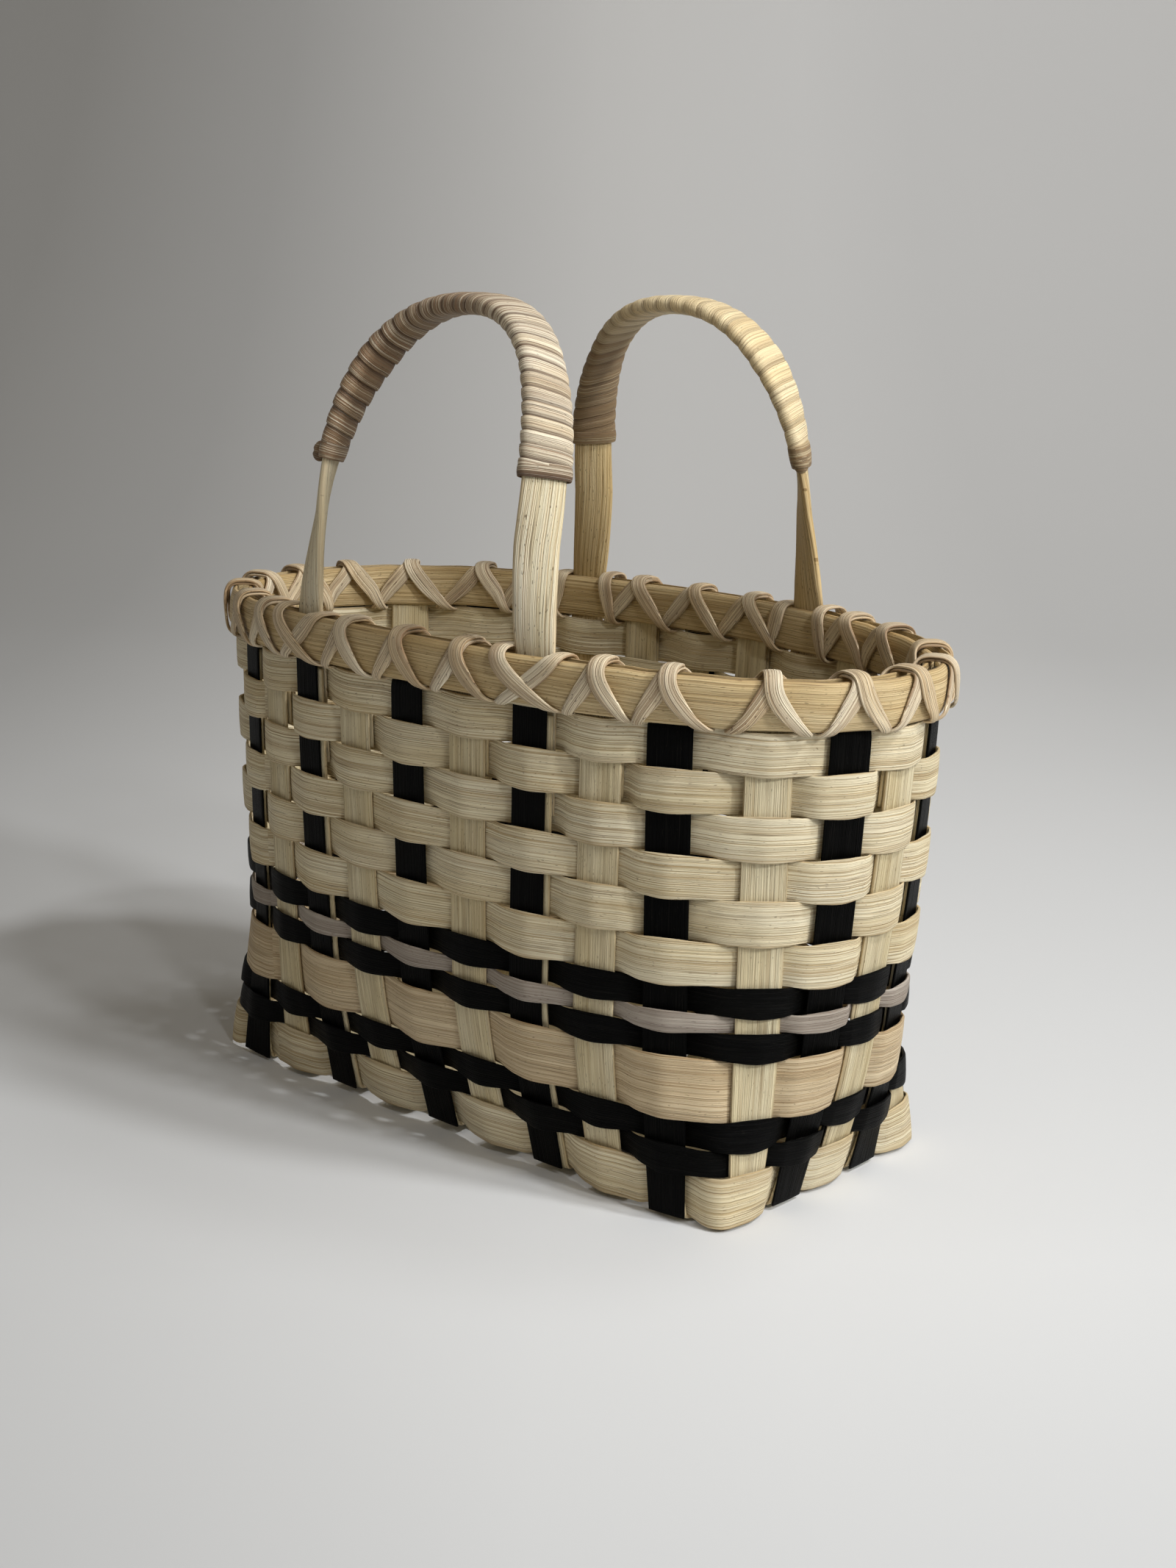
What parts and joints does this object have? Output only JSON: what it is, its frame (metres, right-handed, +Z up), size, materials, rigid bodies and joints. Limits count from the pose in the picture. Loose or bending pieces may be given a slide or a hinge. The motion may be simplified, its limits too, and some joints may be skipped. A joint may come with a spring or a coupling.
{
  "type": "tote basket",
  "caption": "Tote basket of woven flat reed with an open base, dark woven bands, a lashed oval rim and wrapped arched handles.",
  "frame": {"origin": "on the floor, under the middle of the basket", "axes": "+X along the basket's length, +Y from front to back, +Z up through the opening"},
  "size_m": [0.3326, 0.1836, 0.3152],
  "materials": {
    "natural_reed": "dry flat reed with a fine straight grain",
    "black_reed": "reed dyed black, low sheen",
    "lavender_reed": "reed dyed a pale lavender grey",
    "rim_reed": "flat oval reed with a long grain",
    "lashing_reed": "narrow flat reed, pinkish tan"
  },
  "bodies": {
    "root": {"cross_stake_1": "natural_reed", "cross_stake_2": "natural_reed", "cross_stake_3": "natural_reed", "cross_stake_4": "natural_reed", "cross_stake_5": "natural_reed", "cross_stake_6": "natural_reed", "cross_stake_7": "natural_reed", "cross_stake_8": "natural_reed", "cross_stake_9": "natural_reed", "long_stake_1": "natural_reed", "long_stake_2": "natural_reed", "long_stake_3": "natural_reed", "long_stake_4": "natural_reed", "long_stake_5": "natural_reed", "black_overlay_front_1": "black_reed", "black_overlay_front_3": "black_reed", "black_overlay_front_5": "black_reed", "black_overlay_front_7": "black_reed", "black_overlay_front_9": "black_reed", "black_overlay_back_1": "black_reed", "black_overlay_back_3": "black_reed", "black_overlay_back_5": "black_reed", "black_overlay_back_7": "black_reed", "black_overlay_back_9": "black_reed", "black_overlay_left_2": "black_reed", "black_overlay_left_4": "black_reed", "black_overlay_right_2": "black_reed", "black_overlay_right_4": "black_reed", "weaver_row_01": "natural_reed", "weaver_row_02": "black_reed", "weaver_row_03": "black_reed", "weaver_row_04": "natural_reed", "weaver_row_05": "black_reed", "weaver_row_06": "lavender_reed", "weaver_row_07": "black_reed", "weaver_row_08": "natural_reed", "weaver_row_09": "natural_reed", "weaver_row_10": "natural_reed", "weaver_row_11": "natural_reed", "weaver_row_12": "natural_reed", "weaver_row_13": "natural_reed", "hidden_rim_row": "natural_reed", "outer_rim": "rim_reed", "inner_rim": "rim_reed", "lashing_over_1": "lashing_reed", "lashing_over_2": "lashing_reed", "lashing_under_1": "lashing_reed", "lashing_under_2": "lashing_reed", "handle_front": "rim_reed", "handle_back": "rim_reed", "handle_wrap_front": "lashing_reed", "handle_wrap_back": "lashing_reed"}
  },
  "joints": []
}
